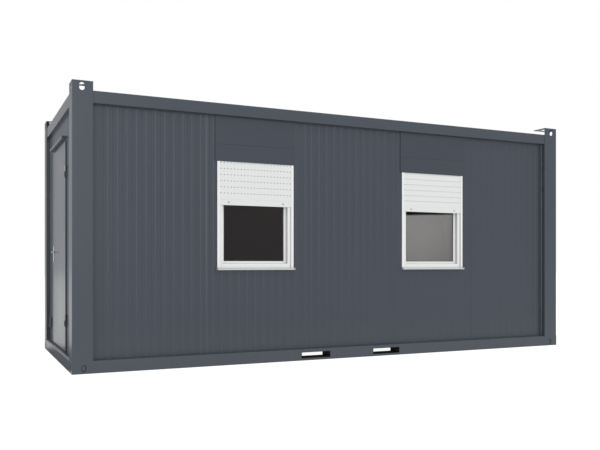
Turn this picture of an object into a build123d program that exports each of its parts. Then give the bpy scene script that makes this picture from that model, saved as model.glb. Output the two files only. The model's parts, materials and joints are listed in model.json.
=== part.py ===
from build123d import *
import os

# A twenty-foot container cabin in millimetres. Z is up, and the origin is the middle of its footprint
# on the ground. X runs along the cabin with the door end at -X, and the two windows face -Y.

# overall size
length = 6055
width = 2435
height = 2800

# corner posts: folded plate, open on the inner corner
post_along = 197
post_across = 200
post_plate = 5
post_round = 8
post_edge_round = 3
head_plate = 8
lifting_slot = (100, 124)
lifting_slot_place = (88, 108)
side_hole = (50, 75)
side_hole_place = (92, 56)
foot_mark = (45, 65)
foot_mark_depth = 5
foot_mark_place = (110, 52)

# perimeter rails
rail_plate = 5
base_rail_height = 125
base_rail_round = 18
base_rail_lip = 60
top_rail_height = 120
top_rail_drop = 86
top_rail_inset = 7
top_rail_lip = 70

# fork pockets in the long base rails
pocket_spacing = 899
pocket_size = (345, 60)
pocket_rise = 27
pocket_depth = 190
pocket_plate = 4

# floor and roof
floor_board = 22
joist_width = 50
joist_plate = 4
joist_rise = 40
joist_edge = 60
joists_beyond_pockets = 4
roof_thickness = 90
ceiling_thickness = 12
ceiling_drop = 100

# wall panels
panel_thickness = 60
panel_setback = 60
end_panel_setback = 50
long_wall_panels = 5
end_wall_panels = 2

# windows with roller shutters
window_width = 868
window_bottom = 1006
head_cover_height = 474
window_setback = 50
shutter_box_height = 180
shutter_box_depth = 165
shutter_box_wall = 6
head_cover_width = 915
head_cover_plate = 10
guide_width = 28
guide_lip = 4
guide_depth = 17
frame_border_side = 68
frame_border_end = 46
frame_depth = 74
sash_border = 22
sash_setback = 45
sash_depth = 28
glass_thickness = 24
glass_setback = 2
curtain_thickness = 9
curtain_drop = 455
curtain_end_bar = 60
curtain_end_bar_thickness = 12
curtain_edge_gap = 0.6
stopper_size = 12
stopper_inset = 118
sill_width = 890
sill_height = 20
sill_reach = 28
sill_slope = 6

# door in the left end
door_near_edge = 775
door_width = 1065
over_door_height = 205
door_thickness = 42
door_face_setback = 38
door_gap = 7
door_floor_gap = 6
frame_face = 53
door_stop_width = 22
door_stop_gap = 6
canopy_height = 40
canopy_clear = 8
canopy_end_overlap = 5
canopy_lip = 24
canopy_plate = 3

# door hinges
hinge_height = 118
hinge_inset_bottom = 328
hinge_inset_top = 325
hinge_barrel = 18
hinge_pin = 10
hinge_pin_gap = 0.3
hinge_plate = 4
hinge_offset = 10
hinge_flap = 42
hinge_split = 1

# door lever
lever_height = 1186
lever_backset = 75
lever_length = 122
lever_bar = 16
lever_neck = 18
lever_reach = 36
spindle = 10
spindle_gap = 3
lever_seat_gap = 0.3
lever_plate_size = (40, 187)
lever_plate_thickness = 8
lever_plate_rise = -22

# small service box beside the door
service_box_size = (130, 118)
service_box_depth = 21
service_box_place = (290, 346)

# derived levels and places
half_length = length / 2
half_width = width / 2
top_rail_top = height - top_rail_drop
top_rail_bottom = top_rail_top - top_rail_height
panel_pitch = (length - 2 * post_along) / long_wall_panels
room_x = half_length - end_panel_setback - panel_thickness
room_y = half_width - panel_setback - panel_thickness
front = -half_width
left = -half_length

os.makedirs("parts", exist_ok=True)


def save(name, *solids):
    # one file per node; solids of one node don't touch
    shape = solids[0] if len(solids) == 1 else Compound(children=list(solids))
    export_step(shape, f"parts/{name}.step")


def block(x0, x1, y0, y1, z0, z1):
    # a box between two corners
    return Pos((x0 + x1) / 2, (y0 + y1) / 2, (z0 + z1) / 2) * Box(x1 - x0, y1 - y0, z1 - z0)


def outline(points, rounds=()):
    # a flat outline with some of its corners rounded
    face = make_face(Polyline(*points, close=True))
    for point, radius in rounds:
        face = fillet(face.vertices().sort_by_distance(Vector(*point))[0], radius)
    return face


def oval(size):
    # an upright or lying oval, whichever way it is longer
    across, upright = size
    if across >= upright:
        return SlotOverall(across, upright)
    return SlotOverall(upright, across, rotation=90)


def flip_x(shape):
    return mirror(shape, about=Plane.YZ)


def flip_y(shape):
    return mirror(shape, about=Plane.XZ)


def corners(shape):
    # the same piece at the four corners of the plan
    right = flip_x(shape)
    return [shape, right, flip_y(shape), flip_y(right)]


# ---- corner posts, heads and feet


def corner_post():
    a, b, w = post_along, post_across, post_plate
    lip_a = panel_setback
    lip_b = end_panel_setback
    folded = [(0, 0), (a, 0), (a, lip_a), (a - w, lip_a), (a - w, w), (w, w),
              (w, b - w), (lip_b, b - w), (lip_b, b), (0, b)]
    plain = [(0, 0), (a, 0), (a, w), (w, w), (w, b), (0, b)]
    bends = [((0, 0), post_round), ((a, 0), post_edge_round), ((0, b), post_edge_round)]
    lower = extrude(outline(folded, bends), top_rail_top - base_rail_height)
    upper = extrude(outline(plain, bends), height - head_plate - top_rail_top)
    post = Pos(0, 0, base_rail_height) * lower + Pos(0, 0, top_rail_top) * upper
    place, drop = side_hole_place
    hole_height = height - drop
    reach = 2 * w
    post -= Pos(place, 0, hole_height) * extrude(Plane.XZ * oval(side_hole), reach, both=True)
    post -= Pos(0, place, hole_height) * extrude(Plane.YZ * oval(side_hole), reach, both=True)
    return Pos(left, front, 0) * post


def corner_head():
    # the lifting plate on a post, with its slot
    plate = block(0, post_along, 0, post_across, height - head_plate, height)
    plate = fillet(plate.edges().filter_by(Axis.Z).sort_by_distance(Vector(0, 0, height))[0], post_round)
    slot = Pos(*lifting_slot_place, height - 2 * head_plate) * extrude(oval(lifting_slot), 3 * head_plate)
    return Pos(left, front, 0) * (plate - slot)


def corner_foot():
    # the block under a post, with an oval mark sunk in both outer faces
    foot = block(0, post_along, 0, post_across, 0, base_rail_height)
    place, rise = foot_mark_place
    mark = oval(foot_mark)
    foot -= Pos(place, 0, rise) * extrude(Plane.XZ * mark, foot_mark_depth, both=True)
    foot -= Pos(0, place, rise) * extrude(Plane.YZ * mark, foot_mark_depth, both=True)
    return Pos(left, front, 0) * foot


def corner_lining():
    # the insulated corner behind a post, where the two rows of panels meet
    x0 = end_panel_setback
    y0 = panel_setback
    x1 = x0 + panel_thickness
    y1 = y0 + panel_thickness
    points = [(x0, y0), (post_along, y0), (post_along, y1), (x1, y1), (x1, post_across), (x0, post_across)]
    lining = extrude(outline(points), top_rail_bottom - base_rail_height)
    return Pos(left, front, base_rail_height) * lining


post = corner_post()
save("corner_post_front_left", post)
save("corner_post_front_right", flip_x(post))
save("corner_post_back_left", flip_y(post))
save("corner_post_back_right", flip_y(flip_x(post)))
save("corner_top_plates", *corners(corner_head()))
save("corner_feet", *corners(corner_foot()))
save("corner_linings", *corners(corner_lining()))


# ---- rails


def base_rail_outline(flange):
    w, h = rail_plate, base_rail_height
    points = [(0, 0), (base_rail_lip, 0), (base_rail_lip, w), (w, w), (w, h - w), (flange, h - w),
              (flange, h), (0, h)]
    return outline(points, [((0, h), base_rail_round), ((w, h - w), base_rail_round - w)])


def top_rail_outline(flange):
    w, i = rail_plate, top_rail_inset
    z0, z1 = top_rail_bottom, top_rail_top
    points = [(i, z0), (flange, z0), (flange, z0 + w), (i + w, z0 + w), (i + w, z1 - w),
              (i + top_rail_lip, z1 - w), (i + top_rail_lip, z1), (i, z1)]
    return outline(points)


def along_front(section):
    run = length - 2 * post_along
    return Pos(left + post_along, front, 0) * extrude(Plane.YZ * section, run)


def along_left(section):
    run = width - 2 * post_across
    return Pos(left, half_width - post_across, 0) * extrude(Plane.XZ * section, run)


def pocket_places():
    return (-pocket_spacing / 2, pocket_spacing / 2)


def fork_sleeve(x):
    # a short rectangular sleeve welded behind its opening in the rail
    across, upright = pocket_size
    z0 = pocket_rise
    z1 = pocket_rise + upright
    p = pocket_plate
    outer = block(x - across / 2 - p, x + across / 2 + p, front, front + pocket_depth, z0 - p, z1 + p)
    return outer - block(x - across / 2, x + across / 2, front - p, front + pocket_depth + p, z0, z1)


def base_rail_front():
    rail = along_front(base_rail_outline(long_flange))
    across, upright = pocket_size
    p = pocket_plate
    for x in pocket_places():
        rail -= block(x - across / 2 - p, x + across / 2 + p, front - p, front + base_rail_lip + p,
                      pocket_rise - p, pocket_rise + upright + p)
    return rail


long_flange = panel_setback + panel_thickness + rail_plate
short_flange = end_panel_setback + panel_thickness + rail_plate
front_rail = base_rail_front()
left_rail = along_left(base_rail_outline(short_flange))
front_top = along_front(top_rail_outline(long_flange))
left_top = along_left(top_rail_outline(short_flange))
save("long_base_rails", front_rail, flip_y(front_rail))
save("short_base_rails", left_rail, flip_x(left_rail))
save("long_top_rails", front_top, flip_y(front_top))
save("short_top_rails", left_top, flip_x(left_top))

sleeves = [fork_sleeve(x) for x in pocket_places()]
save("fork_sleeves", *sleeves, *[flip_y(sleeve) for sleeve in sleeves])


# ---- floor and roof


def joist_places():
    # one joist midway, one just outside each pocket, the rest spread evenly to the ends
    first = pocket_spacing / 2 + pocket_size[0] / 2 + pocket_plate + joist_edge + joist_width
    last = half_length - post_along - joist_edge - joist_width
    step = (last - first) / joists_beyond_pockets
    side = [first + step * i for i in range(joists_beyond_pockets + 1)]
    return [-x for x in reversed(side)] + [0] + side


def floor_joist(x):
    # a channel across the cabin, notched at both ends to pass under the rail flanges and their bend
    p = joist_plate
    under = base_rail_height - rail_plate
    bend = base_rail_round - rail_plate
    end = half_width - rail_plate
    notch = half_width - long_flange
    x0 = x - joist_width / 2
    x1 = x + joist_width / 2
    joist = block(x0, x1, -end, end, joist_rise, under - bend)
    joist += block(x0, x1, bend - end, end - bend, under - bend, under)
    joist += block(x0, x1, -notch, notch, under, base_rail_height)
    return joist - block(x0 + p, x1 + p, -half_width, half_width, joist_rise + p, base_rail_height - 2 * p)


def roof_slab():
    # the insulated roof between the top rails, notched round the posts
    top = top_rail_top - rail_plate
    edge = top_rail_inset + rail_plate
    slab = block(left + edge, -left - edge, front + edge, -front - edge, top - roof_thickness, top)
    for corner in corners(block(left, left + post_along, front, front + post_across, 0, height)):
        slab -= corner
    return slab


joists = [floor_joist(x) for x in joist_places()]
save("floor_joists", *joists)
save("floor_deck", block(-room_x, room_x, -room_y, room_y, base_rail_height, base_rail_height + floor_board))
save("roof_deck", roof_slab())
ceiling_level = top_rail_top - rail_plate - roof_thickness - ceiling_drop - ceiling_thickness
save("ceiling", block(-room_x, room_x, -room_y, room_y, ceiling_level, ceiling_level + ceiling_thickness))


# ---- windows


def window_centre(number):
    # windows sit in the middle of their panel
    return left + post_along + panel_pitch * (number - 0.5)


def ring(x, half, z0, z1, border_side, border_end, y0, y1):
    # an upright rectangular ring, seen from the front
    outer = block(x - half, x + half, y0, y1, z0, z1)
    inner_half = half - border_side
    return outer - block(x - inner_half, x + inner_half, y0 - 1, y1 + 1, z0 + border_end, z1 - border_end)


window_top = top_rail_bottom - head_cover_height
box_top = window_top + shutter_box_height
half_window = window_width / 2
guide_front = front + window_setback
frame_front = guide_front + guide_depth
curtain_front = guide_front + guide_lip + curtain_edge_gap
curtain_bottom = window_top - curtain_drop
sash_front = frame_front + sash_setback
panel_front = front + panel_setback


def window_frame(x):
    # the fixed frame with a channel up each side for the shutter
    frame = ring(x, half_window, window_bottom, window_top, frame_border_side, frame_border_end,
                 frame_front, frame_front + frame_depth)
    for side in (-1, 1):
        outer = x + side * half_window
        inner = x + side * (half_window - guide_width)
        wall = x + side * (half_window - guide_lip)
        frame += block(min(outer, inner), max(outer, inner), guide_front, guide_front + guide_lip,
                       window_bottom, window_top)
        frame += block(min(outer, wall), max(outer, wall), guide_front, frame_front,
                       window_bottom, window_top)
    return frame


def window_sash(x):
    half = half_window - frame_border_side
    return ring(x, half, window_bottom + frame_border_end, window_top - frame_border_end,
                sash_border, sash_border, sash_front, sash_front + sash_depth)


def window_pane(x):
    half = half_window - frame_border_side - sash_border
    border = frame_border_end + sash_border
    y0 = sash_front + glass_setback
    return block(x - half, x + half, y0, y0 + glass_thickness, window_bottom + border, window_top - border)


def shutter_curtain(x):
    # the half lowered curtain of slats with its end bar and two stoppers
    half = half_window - guide_lip - curtain_edge_gap
    y0 = curtain_front
    bar_top = curtain_bottom + curtain_end_bar
    half_bar = half_window - guide_width - curtain_edge_gap
    curtain = block(x - half, x + half, y0, y0 + curtain_thickness, bar_top, window_top + shutter_box_wall)
    curtain += block(x - half, x + half, y0, y0 + curtain_thickness, curtain_bottom, bar_top)
    bar_front = y0 + curtain_thickness - curtain_end_bar_thickness
    curtain += block(x - half_bar, x + half_bar, bar_front, y0 + curtain_thickness, curtain_bottom, bar_top)
    for side in (-1, 1):
        sx = x + side * (half_bar - stopper_inset)
        stopper = Plane.XZ * Circle(stopper_size / 2)
        curtain += Pos(sx, bar_front, curtain_bottom + curtain_end_bar / 2) * extrude(stopper, guide_lip)
    return curtain


def shutter_box(x):
    # the box that holds the rolled shutter, with the flat cover that runs up to the top rail
    half = head_cover_width / 2
    cover_front = panel_front - head_cover_plate
    wall = shutter_box_wall
    box_back = panel_front + shutter_box_depth
    box = block(x - half, x + half, cover_front, panel_front, window_top, top_rail_bottom)
    box += block(x - half_window, x + half_window, panel_front, box_back, window_top, box_top)
    box -= block(x - half_window + wall, x + half_window - wall, cover_front + guide_lip, box_back - wall,
                 window_top + wall, box_top - wall)
    slot_half = half_window - guide_lip + curtain_edge_gap
    slot_back = curtain_front + curtain_thickness + curtain_edge_gap
    box -= block(x - slot_half, x + slot_half, cover_front + guide_lip, slot_back, window_top - 1,
                 window_top + 2 * wall)
    return box


def window_sill(x):
    # a sloping metal sill under the frame
    y0 = front + window_setback - sill_reach
    z1 = window_bottom
    z0 = z1 - sill_height
    points = [(y0, z0), (panel_front, z0), (panel_front, z1), (guide_front, z1), (y0, z1 - sill_slope)]
    sill = extrude(Plane.YZ * outline(points), sill_width)
    return Pos(x - sill_width / 2, 0, 0) * sill


window_places = [window_centre(2), window_centre(4)]
save("window_frames", *[window_frame(x) for x in window_places])
save("window_sashes", *[window_sash(x) for x in window_places])
save("window_glass", *[window_pane(x) for x in window_places])
save("shutter_curtains", *[shutter_curtain(x) for x in window_places])
save("shutter_boxes", *[shutter_box(x) for x in window_places])
save("window_sills", *[window_sill(x) for x in window_places])


# ---- wall panels


def front_panel(number):
    x0 = left + post_along + panel_pitch * (number - 1)
    return block(x0, x0 + panel_pitch, panel_front, panel_front + panel_thickness,
                 base_rail_height, top_rail_bottom)


def window_panel(number):
    x = window_centre(number)
    opening = block(x - half_window, x + half_window, front, 0, window_bottom, box_top)
    return front_panel(number) - opening


for number in range(1, long_wall_panels + 1):
    panel = window_panel(number) if number in (2, 4) else front_panel(number)
    save(f"front_panel_{number}", panel)
    save(f"back_panel_{number}", flip_y(front_panel(number)))

end_x0 = left + end_panel_setback
end_x1 = end_x0 + panel_thickness
end_y0 = front + post_across
end_y1 = half_width - post_across
end_pitch = (end_y1 - end_y0) / end_wall_panels
for number in range(1, end_wall_panels + 1):
    y0 = end_y0 + end_pitch * (number - 1)
    save(f"right_panel_{number}",
         block(-end_x1, -end_x0, y0, y0 + end_pitch, base_rail_height, top_rail_bottom))


# ---- door end

leaf_y0 = front + door_near_edge
leaf_y1 = leaf_y0 + door_width
leaf_x0 = left + door_face_setback
leaf_x1 = leaf_x0 + door_thickness
leaf_z0 = base_rail_height + door_floor_gap
frame_top = top_rail_bottom - over_door_height
opening_top = frame_top - canopy_height
leaf_z1 = opening_top - canopy_clear
opening_y0 = leaf_y0 - door_gap
opening_y1 = leaf_y1 + door_gap
frame_y0 = opening_y0 - frame_face
frame_y1 = opening_y1 + frame_face

save("left_panel_hinge_side", block(end_x0, end_x1, end_y0, frame_y0, base_rail_height, top_rail_bottom))
save("left_panel_lock_side", block(end_x0, end_x1, frame_y1, end_y1, base_rail_height, top_rail_bottom))
save("left_panel_over_door", block(end_x0, end_x1, frame_y0, frame_y1, frame_top, top_rail_bottom))


def door_frame():
    # jambs, head and threshold, with a rebate for the leaf and a stop behind it
    stop_x = leaf_x1 + door_stop_gap
    stop = door_gap + door_stop_width
    threshold = base_rail_height + floor_board
    frame = block(end_x0, end_x1, frame_y0, frame_y1, base_rail_height, frame_top)
    frame -= block(left, stop_x, opening_y0, opening_y1, base_rail_height - 1, opening_top)
    frame -= block(left, end_x1 + 1, opening_y0 + stop, opening_y1 - stop, threshold, opening_top - stop)
    return frame


def door_leaf():
    leaf = block(leaf_x0, leaf_x1, leaf_y0, leaf_y1, leaf_z0, leaf_z1)
    bore = Pos(leaf_x0, lever_y, lever_height) * extrude(Plane.YZ * Circle(spindle / 2 + spindle_gap),
                                                         2 * door_thickness, both=True)
    return leaf - bore


def door_canopy():
    # a folded rain hood over the door, open towards the wall
    y0 = leaf_y0
    y1 = leaf_y1 + canopy_end_overlap
    z0 = frame_top - canopy_lip
    z1 = frame_top
    p = canopy_plate
    hood = block(left, end_x0, y0, y1, z0, z1)
    return hood - block(left + p, end_x0, y0 + p, y1 - p, z0 + p, z1 - p)


lever_y = leaf_y1 - lever_backset


def lever_plates():
    # long cover plates on both faces of the leaf
    across, upright = lever_plate_size
    z = lever_height + lever_plate_rise
    plates = []
    for x0 in (leaf_x0 - lever_plate_thickness, leaf_x1):
        plate = block(x0, x0 + lever_plate_thickness, lever_y - across / 2, lever_y + across / 2,
                      z - upright / 2, z + upright / 2)
        plate -= Pos(x0, lever_y, lever_height) * extrude(Plane.YZ * Circle(spindle / 2 + spindle_gap),
                                                          2 * lever_plate_thickness, both=True)
        plates.append(plate)
    return plates


def door_lever():
    # two lever handles on one spindle
    outer_seat = leaf_x0 - lever_plate_thickness - lever_seat_gap
    inner_seat = leaf_x1 + lever_plate_thickness + lever_seat_gap
    outer_end = outer_seat - lever_reach + lever_plate_thickness
    inner_end = inner_seat + lever_reach
    lever = Pos(outer_end, lever_y, lever_height) * extrude(Plane.YZ * Circle(spindle / 2),
                                                            inner_end - outer_end)
    for x0, x1, bar_x in ((outer_end, outer_seat, outer_end), (inner_seat, inner_end, inner_end - lever_bar)):
        neck = Pos(x0, lever_y, lever_height) * extrude(Plane.YZ * Circle(lever_neck / 2), x1 - x0)
        bar = block(bar_x, bar_x + lever_bar, lever_y - lever_length, lever_y,
                    lever_height - lever_bar / 2, lever_height + lever_bar / 2)
        bar = fillet(bar.edges().filter_by(Axis.Y), lever_bar / 3)
        lever += neck + bar
    return lever


hinge_x = leaf_x0 - hinge_plate
hinge_y = leaf_y0 - hinge_offset
hinge_levels = (leaf_z0 + hinge_inset_bottom, leaf_z1 - hinge_inset_top)


def barrel(z0, z1, radius):
    return Pos(hinge_x, hinge_y, z0) * extrude(Circle(radius), z1 - z0)


def hinge_frame_half(level):
    # lower knuckle with the pin, and the flap bent back to the frame's face
    z0 = level - hinge_height / 2
    z1 = level
    p = hinge_plate
    half = barrel(z0, z1, hinge_barrel / 2) + barrel(z1, level + hinge_height / 2 - p, hinge_pin / 2)
    half += block(hinge_x, end_x0, hinge_y - hinge_barrel / 2, hinge_y - hinge_barrel / 2 + p, z0, z1)
    half += block(end_x0 - p, end_x0, hinge_y - hinge_flap, hinge_y - hinge_barrel / 2 + p, z0, z1)
    return half


def hinge_leaf_half(level):
    # upper knuckle with its bore, and the flap on the leaf's face
    z0 = level + hinge_split
    z1 = level + hinge_height / 2
    p = hinge_plate
    half = barrel(z0, z1, hinge_barrel / 2)
    half += block(hinge_x, hinge_x + p, hinge_y, hinge_y + hinge_flap, z0, z1)
    return half - barrel(z0 - 1, z1 - p + hinge_split, hinge_pin / 2 + hinge_pin_gap)


def service_box():
    place, level = service_box_place
    across, upright = service_box_size
    y1 = half_width - place + across / 2
    box = block(end_x0 - service_box_depth, end_x0, y1 - across, y1, level - upright / 2, level + upright / 2)
    return box


save("door_frame", door_frame())
save("door_leaf", door_leaf())
save("door_canopy", door_canopy())
save("door_lever_plates", *lever_plates())
save("door_lever", door_lever())
save("door_hinges_frame_half", *[hinge_frame_half(level) for level in hinge_levels])
save("door_hinges_leaf_half", *[hinge_leaf_half(level) for level in hinge_levels])
save("service_box", service_box())
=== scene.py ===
import json
import math

import bmesh
import bpy
import numpy as np
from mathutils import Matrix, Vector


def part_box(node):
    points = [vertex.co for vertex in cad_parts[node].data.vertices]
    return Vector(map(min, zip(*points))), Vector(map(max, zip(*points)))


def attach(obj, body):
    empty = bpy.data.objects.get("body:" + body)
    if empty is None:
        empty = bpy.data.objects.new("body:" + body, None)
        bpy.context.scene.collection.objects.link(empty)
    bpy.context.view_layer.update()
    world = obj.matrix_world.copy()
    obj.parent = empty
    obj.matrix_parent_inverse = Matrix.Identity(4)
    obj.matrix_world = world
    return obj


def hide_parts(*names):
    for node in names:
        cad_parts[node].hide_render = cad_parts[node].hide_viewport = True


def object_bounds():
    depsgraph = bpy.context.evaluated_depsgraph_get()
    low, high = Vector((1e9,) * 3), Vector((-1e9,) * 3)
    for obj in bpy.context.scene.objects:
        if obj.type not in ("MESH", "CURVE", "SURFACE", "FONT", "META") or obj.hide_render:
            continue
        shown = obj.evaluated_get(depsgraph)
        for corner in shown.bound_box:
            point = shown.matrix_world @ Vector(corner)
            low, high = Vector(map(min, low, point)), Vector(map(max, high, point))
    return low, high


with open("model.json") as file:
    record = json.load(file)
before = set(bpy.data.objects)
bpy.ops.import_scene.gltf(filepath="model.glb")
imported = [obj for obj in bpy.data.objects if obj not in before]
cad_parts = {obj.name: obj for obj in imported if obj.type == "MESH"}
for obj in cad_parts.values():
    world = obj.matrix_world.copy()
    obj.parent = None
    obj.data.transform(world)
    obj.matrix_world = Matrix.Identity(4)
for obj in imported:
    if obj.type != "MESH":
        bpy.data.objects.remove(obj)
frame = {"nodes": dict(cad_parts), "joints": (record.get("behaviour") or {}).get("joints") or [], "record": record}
nodes = frame["nodes"]
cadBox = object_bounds()
print("frame loaded:", len(nodes), "nodes")

# camera, floor and light

cameraSettings = {
    "place": (-3.993, -8.381, 1.050),
    "turn": 25.05,        # degrees, to the right of straight ahead
    "lens": 43.739,
    "sensor": 36.0,
    "rise": 0.06495,      # vertical shift, so that upright edges stay upright
    "farthest": 200,
}

studio = {
    "sky": 0.95,          # the soft white room all round
    # parts of it with another strength: direction, strength, cosine at their edge and inside, lowest rise
    "zones": [
        ((0.526, -0.848, 0.061), 2.04, 0.9920, 1.0, -1),
        ((0.573, -0.819, 0.065), 0.02, 0.9962, 0.9984, 0.0660),
        ((0.358, -0.933, 0.035), 0.28, 0.985, 0.9925, -1),
        ((0.914, -0.407, 0.0), 0.45, 0.899, 0.970, -1),
        ((-0.12, 0.993, 0.0), 0.62, 0.766, 0.94, -1),
    ],
    "zoneEdge": 0.001,    # softness of the lowest rise
    "floorWhite": 0.3,
    "floorGlow": 0.93,    # as the camera sees it
    "floorFill": 0.68,    # as everything else does
    "shadePlace": (-3.5, 0.08),    # painted shade: where the floor's glow is lowered beside the cabin's end
    "shadeReach": (0.9, 1.5),
    "shadeGlow": 0.02,
    "floorReach": 60,
    "keyPower": 134,
    "keyPlace": (3.8, -11.0, 6.5),
    "keyAim": (0.0, 0.0, 1.2),
    "keySize": (5.0, 5.0),
    "sidePower": 380,     # a broad soft light to the left that only shows as gloss
    "sidePlace": (-7.5, -10.5, 3.8),
    "sideAim": (-1.77, -1.2, 2.0),
    "sideSize": (13.0, 6.0),
}


def addObject(name, data):
    made = bpy.data.objects.new(name, data)
    bpy.context.scene.collection.objects.link(made)
    return made


def buildCamera(s):
    camera = bpy.data.cameras.new("camera")
    camera.lens = s["lens"]
    camera.sensor_width = s["sensor"]
    camera.sensor_fit = "HORIZONTAL"
    camera.shift_y = s["rise"]
    camera.clip_end = s["farthest"]
    holder = addObject("camera", camera)
    holder.location = s["place"]
    holder.rotation_euler = (math.radians(90), 0, -math.radians(s["turn"]))
    bpy.context.scene.camera = holder


def plug(tree, made, inputs):
    # sets a node's inputs. One that is given another node's output is linked to it, and one that is given
    # a whole node is linked to that node's first output in use
    for key, value in inputs.items():
        if isinstance(value, bpy.types.Node):
            value = next(output for output in value.outputs if output.enabled)
        if isinstance(value, bpy.types.NodeSocket):
            tree.links.new(value, made.inputs[key])
        else:
            made.inputs[key].default_value = value


def node(tree, kind, inputs=None, **settings):
    # one shader node with its settings and inputs
    made = tree.nodes.new("ShaderNode" + kind)
    for key, value in settings.items():
        setattr(made, key, value)
    plug(tree, made, inputs or {})
    return made


def buildWorld(s):
    # white as the camera sees it; for all other rays an even white room with the zones laid over one another
    world = bpy.data.worlds.new("studio")
    world.use_nodes = True
    tree = world.node_tree
    tree.nodes.clear()
    place = node(tree, "TexCoord").outputs["Generated"]
    rise = node(tree, "SeparateXYZ", {"Vector": place}).outputs["Z"]
    strength = s["sky"]
    soft = s["zoneEdge"]
    for direction, level, edge, inside, lowest in s["zones"]:
        aim = node(tree, "VectorMath", {0: place, 1: direction}, operation="DOT_PRODUCT")
        ramp = node(tree, "MapRange", {"Value": aim, "From Min": edge, "From Max": inside},
                    interpolation_type="SMOOTHSTEP")
        above = node(tree, "MapRange", {"Value": rise, "From Min": lowest - soft, "From Max": lowest + soft})
        within = node(tree, "Math", {0: ramp, 1: above}, operation="MULTIPLY")
        strength = node(tree, "MapRange", {"Value": within, "To Min": strength, "To Max": level})
    room = node(tree, "Background", {"Color": (1, 1, 1, 1), "Strength": strength})
    seen = node(tree, "Background", {"Color": (1, 1, 1, 1), "Strength": 1.0})
    mix = node(tree, "MixShader", {"Fac": node(tree, "LightPath"), 1: room, 2: seen})
    node(tree, "OutputWorld", {"Surface": mix})
    bpy.context.scene.world = world
    bpy.context.scene.view_settings.view_transform = "Standard"


def softLight(s, name, glossOnly):
    # a rectangular lamp that faces its aim, out of the camera's sight
    lamp = bpy.data.lights.new(name, "AREA")
    lamp.shape = "RECTANGLE"
    lamp.size, lamp.size_y = s[name + "Size"]
    lamp.energy = s[name + "Power"]
    holder = addObject(name + "Light", lamp)
    holder.location = s[name + "Place"]
    away = np.subtract(s[name + "Place"], s[name + "Aim"])
    holder.rotation_euler = (math.acos(away[2] / np.linalg.norm(away)), 0, math.atan2(away[0], -away[1]))
    holder.visible_camera = False
    holder.visible_glossy = glossOnly
    holder.visible_diffuse = not glossOnly


buildCamera(cameraSettings)
buildWorld(studio)
softLight(studio, "key", False)
softLight(studio, "side", True)
print("camera and light ready")

# materials: patterns that several finishes share are node groups


def newGroup(name, inputs, outputs):
    # an empty node group with named sockets; returns its tree, its inputs' sockets and its output node
    tree = bpy.data.node_groups.new(name, "ShaderNodeTree")
    for key, value in inputs.items():
        kind = "NodeSocketVector" if isinstance(value, tuple) else "NodeSocketFloat"
        socket = tree.interface.new_socket(name=key, in_out="INPUT", socket_type=kind)
        socket.default_value = value
    for key in outputs:
        tree.interface.new_socket(name=key, in_out="OUTPUT", socket_type="NodeSocketFloat")
    return tree, tree.nodes.new("NodeGroupInput").outputs, tree.nodes.new("NodeGroupOutput")


def coatGroup():
    # sprayed coat: fine orange peel, soft clouds of tone, and dust that thickens towards the ground
    tree, given, end = newGroup(
        "sprayedCoat",
        {"Peel Scale": 900.0, "Cloud Scale": 1.6, "Cloud Amount": 0.05, "Dust Height": 0.5,
         "Dust Amount": 0.1},
        ("Shade", "Dust", "Rough Shift", "Height"))
    place = node(tree, "TexCoord").outputs["Object"]
    peel = node(tree, "TexNoise", {"Vector": place, "Scale": given["Peel Scale"], "Detail": 2.0,
                                   "Roughness": 0.6})
    cloud = node(tree, "TexNoise", {"Vector": place, "Scale": given["Cloud Scale"], "Detail": 4.0,
                                    "Roughness": 0.55})
    centred = node(tree, "Math", {0: cloud, 1: 0.5}, operation="SUBTRACT")
    shade = node(tree, "Math", {0: centred, 1: given["Cloud Amount"], 2: 1.0}, operation="MULTIPLY_ADD")
    # dust: a fall-off with height, broken up by streaks that are long upright
    stretch = node(tree, "Mapping", {"Vector": place, "Scale": (14.0, 14.0, 0.8)})
    streak = node(tree, "TexNoise", {"Vector": stretch, "Scale": 3.0, "Detail": 3.0})
    height = node(tree, "SeparateXYZ", {"Vector": place}).outputs["Z"]
    low = node(tree, "MapRange", {"Value": height, "From Min": 0.0, "From Max": given["Dust Height"],
                                  "To Min": 1.0, "To Max": 0.0}, interpolation_type="SMOOTHSTEP")
    broken = node(tree, "Math", {0: low, 1: streak}, operation="MULTIPLY")
    dust = node(tree, "Math", {0: broken, 1: given["Dust Amount"]}, operation="MULTIPLY")
    rough = node(tree, "Math", {0: centred, 1: 0.12}, operation="MULTIPLY")
    plug(tree, end, {"Shade": shade, "Dust": dust, "Rough Shift": rough, "Height": peel})
    return tree


def grainGroup():
    # drawn grain: a noise stretched along one direction, as on rolled sheet, brushed metal and extrusions
    tree, given, end = newGroup("drawnGrain", {"Stretch": (1.0, 1.0, 1.0), "Scale": 60.0}, ("Grain",))
    place = node(tree, "TexCoord").outputs["Object"]
    stretch = node(tree, "Mapping", {"Vector": place, "Scale": given["Stretch"]})
    noise = node(tree, "TexNoise", {"Vector": stretch, "Scale": given["Scale"], "Detail": 5.0,
                                    "Roughness": 0.65})
    plug(tree, end, {"Grain": noise})
    return tree


sprayedCoat = coatGroup()
drawnGrain = grainGroup()


def newMaterial(name):
    # returns the material, its node tree and its shader
    material = bpy.data.materials.new(name)
    material.use_nodes = True
    return material, material.node_tree, material.node_tree.nodes["Principled BSDF"]


def shifted(tree, source, factor, base):
    # base plus factor times the source
    return node(tree, "Math", {0: source, 1: factor, 2: base}, operation="MULTIPLY_ADD", use_clamp=True)


def bumped(tree, height, strength, distance, edge=0.0):
    # a bump node; edge softens hard corners by that radius first
    bump = node(tree, "Bump", {"Strength": strength, "Distance": distance, "Height": height})
    if edge:
        plug(tree, bump, {"Normal": node(tree, "Bevel", {"Radius": edge}, samples=4)})
    return bump


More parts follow.
